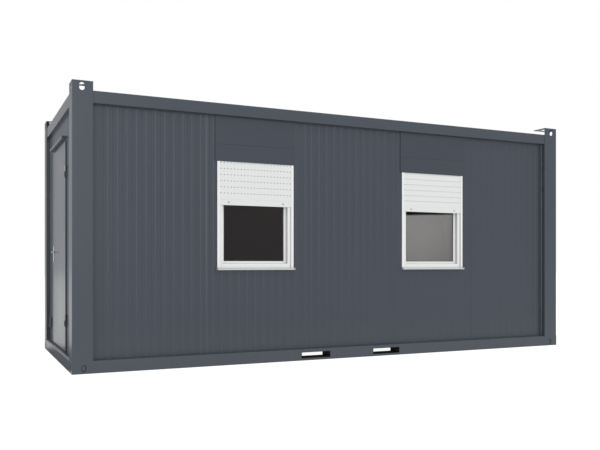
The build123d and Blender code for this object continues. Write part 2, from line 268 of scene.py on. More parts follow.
def coatedMetal(name, colour, roughness, peel=0.12, cloud=0.06, dust=0.12, dustHeight=0.5, edge=0.0,
                level=0.5):
    # sprayed or powder-coated steel
    material, tree, shader = newMaterial(name)
    film = node(tree, "Group", {"Cloud Amount": cloud, "Dust Amount": dust, "Dust Height": dustHeight},
                node_tree=sprayedCoat).outputs
    tone = node(tree, "VectorMath", {0: colour, "Scale": film["Shade"]}, operation="SCALE")
    dusty = node(tree, "Mix", {"Factor": film["Dust"], "A": tone, "B": (*dustTone, 1)}, data_type="RGBA")
    plug(tree, shader, {"Base Color": dusty, "Roughness": shifted(tree, film["Rough Shift"], 1.0, roughness),
                        "Normal": bumped(tree, film["Height"], peel, 0.0004, edge),
                        "Specular IOR Level": level})
    return material


def drawnMaterial(name, light, dark, roughness, scale, stretch=(1.0, 1.0, 1.0), bump=0.1, metallic=0.0):
    # a material with a drawn grain: bare metal, extruded plastic, board or rubber
    material, tree, shader = newMaterial(name)
    grain = node(tree, "Group", {"Stretch": stretch, "Scale": scale}, node_tree=drawnGrain)
    tone = node(tree, "Mix", {"Factor": grain, "A": (*dark, 1), "B": (*light, 1)}, data_type="RGBA")
    plug(tree, shader, {"Base Color": tone, "Roughness": shifted(tree, grain, 0.16, roughness - 0.08),
                        "Normal": bumped(tree, grain, bump, 0.0003), "Metallic": metallic})
    return material


def paneGlass(name, tint, sheen):
    # clear glass that lets light through to the room, with faint dust that shows in its roughness
    material, tree = newMaterial(name)[:2]
    tree.nodes.clear()
    clear = node(tree, "BsdfTransparent", {"Color": (*tint, 1)})
    film = node(tree, "Group", {"Peel Scale": 40.0}, node_tree=sprayedCoat)
    rough = shifted(tree, film.outputs["Height"], 0.02, 0.0)
    gloss = node(tree, "BsdfGlossy", {"Color": (*sheen, 1), "Roughness": rough})
    facing = node(tree, "Fresnel", {"IOR": 1.5})
    mix = node(tree, "MixShader", {"Fac": facing, 1: clear, 2: gloss})
    node(tree, "OutputMaterial", {"Surface": mix})
    return material


dustTone = (0.20, 0.19, 0.17)
framePaint = coatedMetal("framePaint", (0.048, 0.061, 0.080), 0.29, edge=0.0015)
panelPaint = coatedMetal("panelPaint", (0.0385, 0.0500, 0.0695), 0.37, peel=0.08)
coverPaint = coatedMetal("coverPaint", (0.0345, 0.0450, 0.0630), 0.40, peel=0.08)
doorPaint = coatedMetal("doorPaint", (0.043, 0.0548, 0.0765), 0.23, level=0.22, peel=0.02, dustHeight=0.9)
darkPrimer = coatedMetal("darkPrimer", (0.010, 0.011, 0.013), 0.7, level=0.1)
roofCoat = coatedMetal("roofCoat", (0.30, 0.31, 0.32), 0.42, cloud=0.3, dust=0.0)
# tones of the grain, roughness, scale and stretch of the grain
liningBoard = drawnMaterial("liningBoard", (0.62, 0.62, 0.59), (0.56, 0.56, 0.53), 0.62, 40.0,
                            (1.0, 1.0, 0.1))
floorVinyl = drawnMaterial("floorVinyl", (0.24, 0.23, 0.21), (0.12, 0.115, 0.105), 0.5, 220.0)
windowPlastic = drawnMaterial("windowPlastic", (0.87, 0.88, 0.87), (0.83, 0.84, 0.83), 0.32, 90.0, bump=0.04)
rebatePlastic = drawnMaterial("rebatePlastic", (0.58, 0.59, 0.58), (0.54, 0.55, 0.54), 0.45, 90.0)
shutterPaint = drawnMaterial("shutterPaint", (0.755, 0.775, 0.765), (0.74, 0.76, 0.75), 0.42, 120.0,
                             (0.05, 1.0, 1.0), 0.02)
sillMetal = drawnMaterial("sillMetal", (0.61, 0.63, 0.64), (0.52, 0.54, 0.55), 0.36, 200.0, (0.04, 1.0, 1.0))
brightMetal = drawnMaterial("brightMetal", (0.58, 0.58, 0.59), (0.48, 0.48, 0.49), 0.26, 300.0,
                            (1.0, 1.0, 0.05), 0.05, 1.0)
hingeMetal = drawnMaterial("hingeMetal", (0.44, 0.44, 0.41), (0.36, 0.36, 0.34), 0.60, 200.0, (1.0, 1.0, 0.1))
blackRubber = drawnMaterial("blackRubber", (0.018, 0.018, 0.019), (0.010, 0.010, 0.011), 0.7, 150.0)
greyPlastic = drawnMaterial("greyPlastic", (0.30, 0.31, 0.32), (0.24, 0.25, 0.26), 0.5, 150.0)
glassPane = paneGlass("glassPane", (0.84, 0.80, 0.78), (0.90, 0.955, 1.0))

finishes = {
    "frame_paint": framePaint, "panel_paint": panelPaint, "door_paint": doorPaint, "roof_metal": roofCoat,
    "lining_board": liningBoard, "floor_covering": floorVinyl, "window_plastic": windowPlastic,
    "shutter_paint": shutterPaint, "sill_metal": sillMetal, "glass": glassPane, "lever_metal": brightMetal,
    "hinge_metal": hingeMetal,
}
for part in frame["record"]["subparts"]:
    carried = nodes[part["node"]]
    carried.data.materials.clear()
    carried.data.materials.append(finishes[part["material_slot"]])
nodes["door_hinges_frame_half"].data.materials[0] = panelPaint    # the dark wall paint here is painted shade on the hinge's frame half
# near-black paint inside the fork sleeves is painted shade for the inside of the pockets
nodes["fork_sleeves"].data.materials[0] = darkPrimer
print("materials ready")

# mesh makers: each returns (points, faces, material index for each face)


def skin(rings, material=0, meets=False):
    # outlines stacked one after another and joined side by side; the first and last are filled,
    # unless the stack runs round and meets itself
    rings = np.asarray(rings, float)
    index = np.arange(rings.shape[0] * rings.shape[1]).reshape(rings.shape[:2])
    near = index if meets else index[:-1]
    far = np.roll(index, -1, axis=0) if meets else index[1:]
    quads = np.stack([near, np.roll(near, -1, 1), np.roll(far, -1, 1), far], -1).reshape(-1, 4)
    faces = quads.tolist()
    if not meets:
        faces += [index[0].tolist(), index[-1].tolist()]
    return rings.reshape(-1, 3), faces, [material] * len(faces)


def rounded(points, radii=0.0004, steps=3):
    # an outline with each corner turned into an arc: the arc starts and ends at the same distance from the
    # corner along both sides, and bulges along the quadratic curve that has the corner as its handle. One
    # more point lies on each side just before and after the arc, so that flat sides are shaded flat
    points = np.asarray(points, float)
    radii = np.broadcast_to(np.asarray(radii, float), len(points))[:, None]
    before = np.roll(points, 1, 0) - points
    after = np.roll(points, -1, 0) - points
    reach = radii / np.linalg.norm(before, axis=1)[:, None], radii / np.linalg.norm(after, axis=1)[:, None]
    start = points + before * np.minimum(reach[0], 0.45)
    stop = points + after * np.minimum(reach[1], 0.45)
    t = np.linspace(0, 1, steps + 1)[None, :, None]
    arc = start[:, None] * (1 - t) ** 2 + 2 * points[:, None] * t * (1 - t) + stop[:, None] * t ** 2
    lead = points + before * np.minimum(reach[0] * 1.5, 0.48)
    trail = points + after * np.minimum(reach[1] * 1.5, 0.48)
    return np.concatenate([lead[:, None], arc, trail[:, None]], 1).reshape(-1, 2)


def bar(outline, axis, start, stop, material=0):
    # an outline in the other two directions, carried straight along one axis
    outline = np.asarray(outline, float)
    spread = np.empty((2, len(outline), 3))
    across = [i for i in range(3) if i != axis]
    spread[:, :, across] = outline
    spread[0, :, axis] = start
    spread[1, :, axis] = stop
    return skin(spread, material)


def softBox(low, high, edge=0.001, steps=2, material=0):
    # a box between two corners: a small ball whose eight parts are pulled apart to the box's corners. The
    # first and last points of each arc are doubled, and the copy lies a little further along the flat side,
    # so that it is shaded flat
    low, high = np.sort([low, high], axis=0)
    edge = min(edge, (high - low).min() * 0.4)
    arc = np.linspace(0, math.pi / 2, steps + 1)
    arc = np.concatenate([arc[:1], arc, arc[-1:]])
    copy = np.zeros(len(arc))
    copy[[0, -1]] = edge * 0.2
    side = (np.arange(4)[:, None] * math.pi / 2 + arc).ravel()
    rise = np.concatenate([arc - math.pi / 2, arc])[:, None]
    flat = np.abs(np.sin(rise)) > 0.999
    inwards = np.tile(copy, 4)
    ringInwards = np.tile(copy, 2)[:, None]
    ball = np.stack([np.cos(rise) * np.cos(side), np.cos(rise) * np.sin(side),
                     np.sin(rise) * np.ones_like(side)], -1)
    short = np.stack([np.where(flat, ringInwards, 0) + inwards * (np.abs(np.cos(side)) < 0.001),
                      np.where(flat, ringInwards, 0) + inwards * (np.abs(np.sin(side)) < 0.001),
                      np.where(flat, 0, ringInwards) * np.ones_like(side)], -1)
    quarter = np.repeat(np.arange(4), len(arc))
    sign = np.stack([np.where((quarter == 0) | (quarter == 3), 1, -1) * np.ones_like(rise),
                     np.where(quarter < 2, 1, -1) * np.ones_like(rise),
                     np.repeat([-1, 1], len(arc))[:, None] * np.ones(len(side))], -1)
    half = (high - low) / 2 - edge
    return skin((low + high) / 2 + sign * (half - short) + ball * edge, material)


def turned(profile, centre, axis, steps=16, material=0):
    # a profile of (radius, distance along the axis) spun round that axis through centre
    profile = np.asarray(profile, float)
    angle = np.linspace(0, 2 * math.pi, steps, endpoint=False)
    across = [i for i in range(3) if i != axis]
    rings = np.empty((len(profile), steps, 3))
    rings[:, :, across[0]] = profile[:, :1] * np.cos(angle)
    rings[:, :, across[1]] = profile[:, :1] * np.sin(angle)
    rings[:, :, axis] = profile[:, 1:]
    return skin(rings + np.asarray(centre, float), material)


def inset(side, end, depth, rows):
    # sections for rectangleRing from rows of (distance inwards, depth), which start from a rectangle that
    # is already inset at its sides and ends and set back
    return [(side + inwards, end + inwards, depth + deeper) for inwards, deeper in rows]


def rectangleRing(sections, centre, half, axis=1, material=0):
    # upright rectangles, one inside another, joined into a frame with mitred corners; each section is
    # (inset at the sides, inset at top and bottom, distance along the depth axis)
    sections = np.asarray(sections, float)
    signs = np.array([(-1, -1), (1, -1), (1, 1), (-1, 1)])
    rings = np.empty((len(sections), 4, 3))
    rings[:, :, 1 - axis] = centre[1 - axis] + signs[:, 0] * (half[0] - sections[:, :1])
    rings[:, :, axis] = centre[axis] + sections[:, 2:]
    rings[:, :, 2] = centre[2] + signs[:, 1] * (half[1] - sections[:, 1:2])
    return skin(rings, material, meets=True)


def slab(across, up, near, far, keep, place, skins=(0, 0, 0)):
    # two skins over one grid, closed round the rim and round every hole. across, up, near and far are
    # arrays over the grid's points and keep says which of its cells are there. skins are the materials
    # of the near skin, the far skin and the rim
    shape = np.broadcast(across, up, near, far).shape
    grid = [np.broadcast_to(a, shape) for a in (across, up, near, far)]
    points = np.concatenate([place(grid[0], grid[1], d).reshape(-1, 3) for d in grid[2:]])
    index = np.arange(shape[0] * shape[1]).reshape(shape)
    cell = np.stack([index[:-1, :-1], index[1:, :-1], index[1:, 1:], index[:-1, 1:]], -1)
    faces = [cell[keep], (cell + index.size)[keep][:, ::-1]]
    ring = np.pad(keep, 1)
    inner = ring[1:-1, 1:-1]
    for step, a, b in (((-1, 0), 3, 0), ((1, 0), 1, 2), ((0, -1), 0, 1), ((0, 1), 2, 3)):
        beside = np.roll(ring, (-step[0], -step[1]), (0, 1))[1:-1, 1:-1]
        edge = cell[inner & ~beside]
        faces.append(np.stack([edge[:, a], edge[:, a] + index.size, edge[:, b] + index.size, edge[:, b]], -1))
    material = np.repeat([skins[0], skins[1], skins[2]], [len(faces[0]), len(faces[1]),
                                                          sum(len(f) for f in faces[2:])])
    faces = np.concatenate(faces)
    used, faces = np.unique(faces, return_inverse=True)
    return points[used], faces.reshape(-1, 4).tolist(), material.tolist()


def makePiece(name, parts, materials, replaced=(), body="cabin", smoothUnder=50):
    # joins the parts into one mesh, turns its faces outwards and puts it on its body
    start = np.cumsum([0] + [len(points) for points, faces, index in parts])
    points = np.concatenate([points for points, faces, index in parts])
    faces = [[i + first for i in face] for first, part in zip(start.tolist(), parts) for face in part[1]]
    mesh = bpy.data.meshes.new(name)
    mesh.from_pydata(points, [], faces)
    mesh.polygons.foreach_set("material_index", [i for part in parts for i in part[2]])
    for material in materials:
        mesh.materials.append(material)
    shape = bmesh.new()
    shape.from_mesh(mesh)
    bmesh.ops.remove_doubles(shape, verts=shape.verts, dist=1e-7)
    bmesh.ops.recalc_face_normals(shape, faces=shape.faces)
    shape.to_mesh(mesh)
    shape.free()
    mesh.shade_smooth()
    mesh.set_sharp_from_angle(angle=math.radians(smoothUnder))
    piece = addObject(name, mesh)
    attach(piece, body)
    if replaced:
        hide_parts(*replaced)


def wallPlace(corner, depthAxis, inward):
    # grid to space for an upright wall: up is Z, depth goes inwards along one level axis, across is the other
    def place(u, v, d):
        across, deep = corner[1 - depthAxis] + u, corner[depthAxis] + inward * d
        return np.stack([across, deep, v] if depthAxis == 1 else [deep, across, v], -1)
    return place


# wall panels

wall = {
    "ribPitch": 0.0942,
    "ribWidth": 0.051,     # the raised band
    "ribDepth": 0.0021,
    "ribSlope": 0.006,
    "firstRib": 0.0509,    # beside a post
    "nextRib": 0.0900,     # after a joint
    "jointDepth": 0.0060,
    "jointSlope": 0.031,
    "jointFall": 0.0035,
    "jointCurve": 1.1,     # the power of its rise
    "jointSteps": 8,
    "doorShift": 0.02,     # how far the ribs move from one panel round the door to the next
}


def ribLine(width, first, joined, s):
    # the panel's skin seen from above: a trapezoid wave of raised bands and shallow troughs. At a joint it
    # starts deep and rises along a power curve; returns places across and how deep the skin lies there
    starts = np.arange(first, width - s["ribWidth"] / 2, s["ribPitch"])
    half = s["ribSlope"] / 2
    across = (starts[:, None] + np.array([-half, half, s["ribWidth"] - half, s["ribWidth"] + half])).ravel()
    depth = np.tile([s["ribDepth"], 0, 0, s["ribDepth"]], len(starts))
    inside = across < width - s["jointFall"] - 0.001
    across, depth = across[inside], depth[inside]
    last = 0.0 if len(across) % 4 in (2, 3) else s["ribDepth"]
    if joined:
        fall = first - s["ribPitch"] + s["ribWidth"]
        t = np.linspace(0, 1, s["jointSteps"])
        rise = s["jointDepth"] * (1 - t) ** s["jointCurve"]
        lead = [*(t * s["jointSlope"]), fall - half, fall + half], [*rise, 0, s["ribDepth"]]
    else:
        lead = [0], [s["ribDepth"]]
    tail = [width - s["jointFall"], width], [last, s["jointDepth"]]
    return np.concatenate([lead[0], across, tail[0]]), np.concatenate([lead[1], depth, tail[1]])


def wallPanel(name, cad, place, width, first, joined, opening=None):
    # a sandwich panel: ribbed steel outside, plain pale skin inside, with or without a window opening
    low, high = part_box(cad)
    across, near = ribLine(width, first, joined, wall)
    up = np.array([low.z, high.z])
    if opening:
        extra = np.array(opening[0])
        depth = np.interp(extra, across, near)
        order = np.argsort(np.concatenate([across, extra]), kind="stable")
        across = np.concatenate([across, extra])[order]
        near = np.concatenate([near, depth])[order]
        up = np.array([low.z, *opening[1], high.z])
    keep = np.ones((len(across) - 1, len(up) - 1), bool)
    if opening:
        middle = (across[1:] + across[:-1]) / 2
        keep[(middle > opening[0][0]) & (middle < opening[0][1]), 1] = False
    thickness = min(high.x - low.x, high.y - low.y)
    part = slab(across[:, None], up[None, :], near[:, None], thickness, keep, place, (0, 1, 0))
    makePiece(name, [part], [panelPaint, liningBoard], [cad], smoothUnder=6)


frameLow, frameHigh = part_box("window_frames")
panelBoxes = [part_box(f"front_panel_{i}") for i in range(1, 6)]
windowHalf = (frameHigh.x - frameLow.x - (panelBoxes[3][0].x - panelBoxes[1][0].x)) / 2
windowCentres = [(panelBoxes[i][0].x + panelBoxes[i][1].x) / 2 for i in (1, 3)]
windowLow, windowHigh = frameLow.z, frameHigh.z
# the cover over each window and the shutter box behind it
cover = {"lip": 0.0042, "fold": 0.010, "joint": 0.18, "gap": 0.0004, "boxDepth": 0.165, "boxInset": 0.0150}
holeTop = windowHigh + cover["joint"]
for number in range(1, 6):
    low, high = panelBoxes[number - 1]
    width = high.x - low.x
    first = wall["firstRib"] if number == 1 else wall["nextRib"]
    hole = None
    if number in (2, 4):
        hole = (width / 2 - windowHalf, width / 2 + windowHalf), (windowLow, holeTop)
    wallPanel(f"frontWall{number}", f"front_panel_{number}", wallPlace((low.x, low.y), 1, 1), width, first,
              number > 1, hole)
    low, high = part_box(f"back_panel_{number}")
    wallPanel(f"backWall{number}", f"back_panel_{number}", wallPlace((low.x, high.y), 1, -1), width, first,
              number > 1)
for number in (1, 2):
    low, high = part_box(f"right_panel_{number}")
    first = wall["firstRib"] if number == 1 else wall["nextRib"]
    wallPanel(f"rightWall{number}", f"right_panel_{number}", wallPlace((high.x, low.y), 0, -1),
              high.y - low.y, first, number > 1)
for number, side in enumerate(("hinge_side", "lock_side", "over_door")):
    low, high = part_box(f"left_panel_{side}")
    wallPanel(f"doorWall{number + 1}", f"left_panel_{side}", wallPlace((low.x, low.y), 0, 1), high.y - low.y,
              wall["firstRib"] - wall["doorShift"] * number, False)
print("walls ready")

# top rails: folded channels with rounded bends

topRail = {
    "inset": 0.007,
    "plate": 0.005,
    "lip": 0.070,
    "bend": 0.007,
    "innerBend": 0.002,
    "cutEdge": 0.0005,     # the small rounding of a sheet's cut edge
    "flange": {"long": 0.125, "short": 0.115},
}


def railOutline(s, kind, low, high, outer, inward):
    # the folded channel seen from its end: web outside, long flange below, short lip above
    i, w, flange, lip = s["inset"], s["plate"], s["flange"][kind], s["inset"] + s["lip"]
    shape = [(i, low), (flange, low), (flange, low + w), (i + w, low + w), (i + w, high - w), (lip, high - w),
             (lip, high), (i, high)]
    bend, inner, cut = s["bend"], s["innerBend"], s["cutEdge"]
    radii = [bend, cut, cut, inner, inner, cut, cut, bend]
    flat = rounded(shape, radii, 5)
    flat[:, 0] = outer + inward * flat[:, 0]
    return flat


lowEnd, highEnd = cadBox
railLow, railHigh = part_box("long_top_rails")
for kind, axis in (("long", 0), ("short", 1)):
    low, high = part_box(f"{kind}_top_rails")
    rails = [bar(railOutline(topRail, kind, low.z, high.z, edge[1 - axis], inward), axis, low[axis],
                 high[axis]) for edge, inward in ((lowEnd, 1), (highEnd, -1))]
    makePiece(f"{kind}TopRails", rails, [framePaint], [f"{kind}_top_rails"])

# weld beads where posts, feet and rails meet

weld = {"radius": 0.0022, "proud": 0.0007, "tip": 0.0002, "clear": 0.004, "short": 0.02, "start": 0.01}


def bead(axis, start, stop, place):
    # a thin round bar along one axis with tapered ends, sunk in the face so that little of it stands proud
    r, tip = weld["radius"], weld["tip"]
    return turned([(tip, start), (r, start + 3 * r), (r, stop - 3 * r), (tip, stop)], place, axis, 8)


postLow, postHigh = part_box("corner_post_front_left")
postAlong, postAcross = postHigh.x - postLow.x, postHigh.y - postLow.y
footTop = postLow.z
sunk = weld["radius"] - weld["proud"]
corners = [(sideX, edgeX, sideY, edgeY) for sideX, edgeX in ((1, lowEnd.x), (-1, highEnd.x))
           for sideY, edgeY in ((1, lowEnd.y), (-1, highEnd.y))]
low, top = weld["clear"], footTop - weld["short"]
railSpan = railLow.z + low, railHigh.z - low
beads = []
for sideX, edgeX, sideY, edgeY in corners:
    jointX, jointY = edgeX + sideX * postAlong, edgeY + sideY * postAcross
    faceX, faceY = edgeX + sideX * sunk, edgeY + sideY * sunk
    beads += [
        bead(2, low, top, (jointX, faceY, 0)),
        bead(2, low, top, (faceX, jointY, 0)),
        bead(0, *sorted((edgeX + sideX * weld["start"], jointX)), (0, faceY, footTop)),
        bead(1, *sorted((edgeY + sideY * weld["start"], jointY)), (faceX, 0, footTop)),
        bead(2, *railSpan, (jointX, faceY + sideY * topRail["inset"], 0)),
        bead(2, *railSpan, (faceX + sideX * topRail["inset"], jointY, 0)),
    ]
makePiece("weldBeads", beads, [framePaint])

# the sunk ovals in the feet: a dished plug in each, with a black ring at the bottom of the gap round it that
# paints the shade in the gap

mark = {
    "half": (0.0225, 0.0325),
    "gap": 0.0080,
    "sunk": 0.0028,
    "depth": 0.0048,
    "base": 0.0006,        # thickness of the black ring at the bottom of the gap, painted shade
    "baseEdge": 0.002,
    "place": 0.110,
    "rise": 0.052,
}


def oval(half, flat, steps=28):
    # an upright oval: half circles at the ends and straight sides between them
    angle = np.linspace(0, 2 * math.pi, steps, endpoint=False) + math.pi / steps
    straight = half[1] - half[0]
    return np.stack([half[0] * np.cos(angle), half[0] * np.sin(angle) + straight * np.sign(np.sin(angle)),
                     np.full(steps, flat)], -1)


def markPlug(s, axis, centre, inward):
    # ovals stacked inwards: a face that is dished a little, its rounded rim, and its foot
    inwards = [s["gap"] + 0.006, s["gap"] + 0.0025, s["gap"] + 0.0008, s["gap"], s["gap"]]
    depth = [s["sunk"] + 0.0006, s["sunk"], s["sunk"] + 0.0003, s["sunk"] + 0.0014, s["depth"]]
    rings = np.array([oval((s["half"][0] - i, s["half"][1] - i), d) for i, d in zip(inwards, depth)])
    plug = placeOval(rings, axis, centre, inward)
    # the ring at the bottom of the gap is black, a painted shade for the gap
    front, edge = s["depth"] - s["base"], s["baseEdge"]
    base = np.array([oval(s["half"], s["depth"]), oval(s["half"], front),
                     oval((s["half"][0] - edge, s["half"][1] - edge), front)])
    return [skin(plug), skin(placeOval(base, axis, centre, inward), 1)]


def placeOval(rings, axis, centre, inward):
    # ovals of (across, up, depth) turned to face along an axis
    placed = np.empty_like(rings)
    placed[:, :, 1 - axis] = rings[:, :, 0]
    placed[:, :, 2] = rings[:, :, 1]
    placed[:, :, axis] = inward * rings[:, :, 2]
    return placed + np.asarray(centre)


plugs = []
for sideX, edgeX, sideY, edgeY in corners:
    plugs += markPlug(mark, 1, (edgeX + sideX * mark["place"], edgeY, mark["rise"]), sideY)
    plugs += markPlug(mark, 0, (edgeX, edgeY + sideY * mark["place"], mark["rise"]), sideX)
makePiece("footPlugs", plugs, [framePaint, blackRubber])

# windows: frame, sash, double glazing, shutter with its guides, sill and the cover over it

window = {
    "guideWidth": 0.028,
    "guideDepth": 0.017,
    "guideLip": 0.004,
    "guideBends": [0.0025, 0.0018, 0.0005, 0.0008, 0.0003, 0.0003],
    "brush": (0.006, 0.001),    # width and thickness of the strip in a guide
    "borderSide": 0.062,
    "borderEnd": 0.046,
    "frameDepth": 0.074,
    "frameRound": 0.004,
    "seal": 0.0012,
    "backEdge": 0.002,
    "sashBorder": 0.029,
    "sashSetback": 0.045,
    "sashDepth": 0.028,
    "paneSetback": 0.006,
    "paneThickness": 0.004,
    "paneGap": 0.014,
    "paneHidden": 0.0006,       # how far a pane reaches under the bead
    "spacerWidth": 0.007,
}
shutter = {
    "slotPitch": 0.0376,
    "slotsAcross": 22,
    "slotHalf": (0.0048, 0.0050),
    "firstRow": 1.7905,
    "rowPitch": 0.064,
    "rows": 6,
    "bulge": 0.0004,
    "front": 0.0047,       # behind the face of the guides
    "sheet": 0.0011,
    "backing": 0.0115,
    "backingSheet": 0.001,
    "sideGap": 0.0046,
    "above": 0.005,        # how far the slats go up behind the cover
    "barHeight": 0.060,
    "barThickness": 0.0115,
    "barFront": 0.0034,
    "barGap": (0.0012, 0.0004),    # at its sides and above it
    "stopperRadius": 0.0085,
    "stopperInset": 0.124,
}
sill = {"reach": 0.028, "slope": 0.006, "lip": 0.0015, "drip": 0.008, "capWidth": 0.011, "capRise": 0.0045}

guideFront = frameLow.y
frameFront = guideFront + window["guideDepth"]
windowMiddle = (windowLow + windowHigh) / 2
windowUp = (windowHigh - windowLow) / 2
coverLow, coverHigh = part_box("shutter_boxes")
sillLow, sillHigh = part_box("window_sills")
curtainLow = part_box("shutter_curtains")[0]
sillHalf = (sillHigh.x - sillLow.x - (windowCentres[1] - windowCentres[0])) / 2
coverHalf = (coverHigh.x - coverLow.x - (windowCentres[1] - windowCentres[0])) / 2


def guides(x, s):
    # a channel up each side, open towards the slats, and the grey brush strip inside it
    made = []
    wide, thick = s["brush"]
    for side in (-1, 1):
        outer, inner = x + side * windowHalf, x + side * (windowHalf - s["guideWidth"])
        wallX = x + side * (windowHalf - s["guideLip"])
        lip, back = guideFront + s["guideLip"], guideFront + s["guideDepth"]
        shape = [(outer, guideFront), (inner, guideFront), (inner, lip), (wallX, lip), (wallX, back),
                 (outer, back)]
        made.append(bar(rounded(shape, s["guideBends"], 4), 2, windowLow, windowHigh))
        near, far = inner - side * 0.0005, inner + side * wide
        brush = [(near, lip), (far, lip), (far, lip + thick), (near, lip + thick)]
        made.append(bar(brush, 2, windowLow + 0.001, windowHigh - 0.001, 1))
    return made


def windowFrame(x, s):
    # the frame's section runs round the opening, its inner front edge rounded, with a grey seal in the rebate
    # whose grey also paints the shade on the reveal
    side, end, deep, back = s["borderSide"], s["borderEnd"], s["frameDepth"], s["backEdge"]
    r, t = s["frameRound"], s["seal"]
    inner = inset(side, end, 0, [(-r, 0), (-r * 0.4, r * 0.16), (-r * 0.1, r * 0.55), (0, r),
                                 (0, deep - back), (-back, deep)])
    sections = [(0, 0, 0), *inner, (back, back, deep), (0, 0, deep - back)]
    near, far = r + 0.004, s["sashSetback"] + 0.001
    seal = [(side + t, end - t, near), (side + t, end - t, far), (side - t, end - 2 * t, far),
            (side - t, end - 2 * t, near)]
    centre, half = (x, frameFront, windowMiddle), (windowHalf, windowUp)
    return [rectangleRing(sections, centre, half), rectangleRing(seal, centre, half, material=1)]


def windowSash(x, s):
    # the sash with a sloping glazing bead, a black gasket against the pane and a grey seal against the frame,
    # whose grey also paints shade in the reveal
    start = s["borderSide"], s["borderEnd"], s["sashSetback"]
    w, deep = s["sashBorder"], s["sashDepth"]
    sections = inset(*start, [(0.0005, 0.001), (0.0015, 0), (w * 0.45, 0), (w * 0.52, 0.0008),
                              (w * 0.95, 0.005), (w, 0.0065), (w, deep), (0.0005, deep)])
    seal = inset(*start, [(-0.0006, -0.0030), (0.0016, -0.0012), (0.0034, -0.0008), (0.0034, 0.001),
                          (-0.0006, 0.001)])
    gasket = inset(*start, [(w - 0.001, 0.0045), (w + 0.0028, 0.0052), (w + 0.0034, 0.0062),
                            (w - 0.001, 0.0062)])
    centre, half = (x, frameFront, windowMiddle), (windowHalf, windowUp)
    return [rectangleRing(rows, centre, half, material=i) for i, rows in enumerate((sections, gasket, seal))]


def windowPanes(x, s):
    # two panes with an aluminium spacer between them
    a, b = (s[border] + s["sashBorder"] - s["paneHidden"] for border in ("borderSide", "borderEnd"))
    y = frameFront + s["sashSetback"] + s["paneSetback"]
    thick, gap, wide = s["paneThickness"], s["paneGap"], s["spacerWidth"]
    panes = [softBox((x - windowHalf + a, start, windowLow + b),
                     (x + windowHalf - a, start + thick, windowHigh - b), 0.0005, 1)
             for start in (y, y + thick + gap)]
    spacer = inset(a, b, 0, [(0, 0), (wide, 0), (wide, gap), (0, gap)])
    return panes, rectangleRing(spacer, (x, y + thick, windowMiddle), (windowHalf, windowUp))


def slotGrid(centres, steps, first, last):
    # grid lines along one direction: four lines at each slot and plain lines between; also which line
    # starts (1) or ends (-1) a slot, and which gap between lines lies in a slot
    lines = (np.asarray(centres)[:, None] + steps).ravel()
    ends = np.tile([1, 0, 0, -1] + [0] * (len(steps) - 4), len(centres))
    inSlot = np.tile([True, True, True] + [False] * (len(steps) - 3), len(centres))
    inside = (lines > first + 0.0005) & (lines < last - 0.0005)
    lines = np.concatenate([[first], lines[inside], [last]])
    return lines, np.concatenate([[0], ends[inside], [0]]), np.concatenate([[False], inSlot[inside]])


def slats(x, s):
    # a sheet of gently bulging slats with a row of rounded slots at each joint, and a plain black sheet behind it
    # that paints the shade seen through the slots
    half, top = windowHalf - s["sideGap"], windowHigh + s["above"]
    ax, az = s["slotHalf"]
    middles = (np.arange(s["slotsAcross"]) - (s["slotsAcross"] - 1) / 2) * s["slotPitch"]
    across, endX, slotX = slotGrid(middles, [-ax, -ax / 2, ax / 2, ax], -half, half)
    barTop = curtainLow.z + s["barHeight"]
    levels = s["firstRow"] + np.arange(-1, s["rows"]) * s["rowPitch"]
    steps = np.concatenate([[-az, -az / 2, az / 2, az], np.linspace(0.2, 0.85, 6) * s["rowPitch"]])
    up, endZ, slotZ = slotGrid(levels, steps, barTop, top)
    slotZ &= up[:-1] > s["firstRow"] - 2 * az
    phase = (up - s["firstRow"]) / s["rowPitch"]
    near = s["front"] + s["bulge"] * (1 - np.abs(np.sin(math.pi * phase)))
    wide = across[:, None] + 0.3 * ax * endX[:, None] * np.abs(endZ)[None, :]
    tall = up[None, :] + 0.33 * az * endZ[None, :] * np.abs(endX)[:, None]
    keep = ~(slotX[:, None] & slotZ[None, :])
    place = wallPlace((x, guideFront), 1, 1)
    front = slab(wide, tall, near[None, :], near[None, :] + s["sheet"], keep, place)
    flat = np.array([-half, half])
    back = slab(flat[:, None], np.array([[barTop, top]]), s["backing"], s["backing"] + s["backingSheet"],
                np.ones((1, 1), bool), place, (1, 1, 1))
    return [front, back]


def endBar(x, s):
    # the heavy bottom bar with a rounded lower edge, and its two rubber stoppers
    half = windowHalf - window["guideWidth"] - s["barGap"][0]
    front = guideFront + s["barFront"]
    back = front + s["barThickness"]
    low, high = curtainLow.z, curtainLow.z + s["barHeight"] - s["barGap"][1]
    shape = [(front, low), (back, low), (back, high), (front + 0.001, high), (front, high - 0.003)]
    made = [bar(rounded(shape, [0.0058, 0.003, 0.0005, 0.0015, 0.004], 5), 0, x - half, x + half)]
    r, spread = s["stopperRadius"], windowHalf - s["stopperInset"]
    profile = [(r, 0.002), (r, -0.0024), (r * 0.8, -0.0036), (r * 0.3, -0.0039)]
    middle = low + s["barHeight"] / 2
    made += [turned(profile, (x + side * spread, front, middle), 1, 14, 1) for side in (-1, 1)]
    return made


def windowSill(x, s):
    # a folded metal sill that slopes outwards, with a cap at each end
    y0, back, top, low = guideFront - s["reach"], sillHigh.y, sillHigh.z, sillLow.z
    t = s["lip"]
    drip, outer = y0 + s["drip"], top - s["slope"]
    shape = [(y0, low), (drip, low), (drip, low + t), (y0 + t, low + t), (y0 + t, outer - t),
             (guideFront, top - t), (back, top - t), (back, top), (guideFront, top), (y0, outer)]
    radii = [0.002, 0.0003, 0.0003, 0.0006, 0.0006, 0.0004, 0.0004, 0.0004, 0.0004, 0.0025]
    made = [bar(rounded(shape, radii, 4), 0, x - sillHalf + 0.002, x + sillHalf - 0.002)]
    for side in (-1, 1):
        edge, inner = x + side * sillHalf, x + side * (sillHalf - s["capWidth"])
        made.append(softBox((edge, y0 - 0.001, low - 0.001), (inner, guideFront + 0.010, top + s["capRise"]),
                            0.002, 2, 1))
    return made


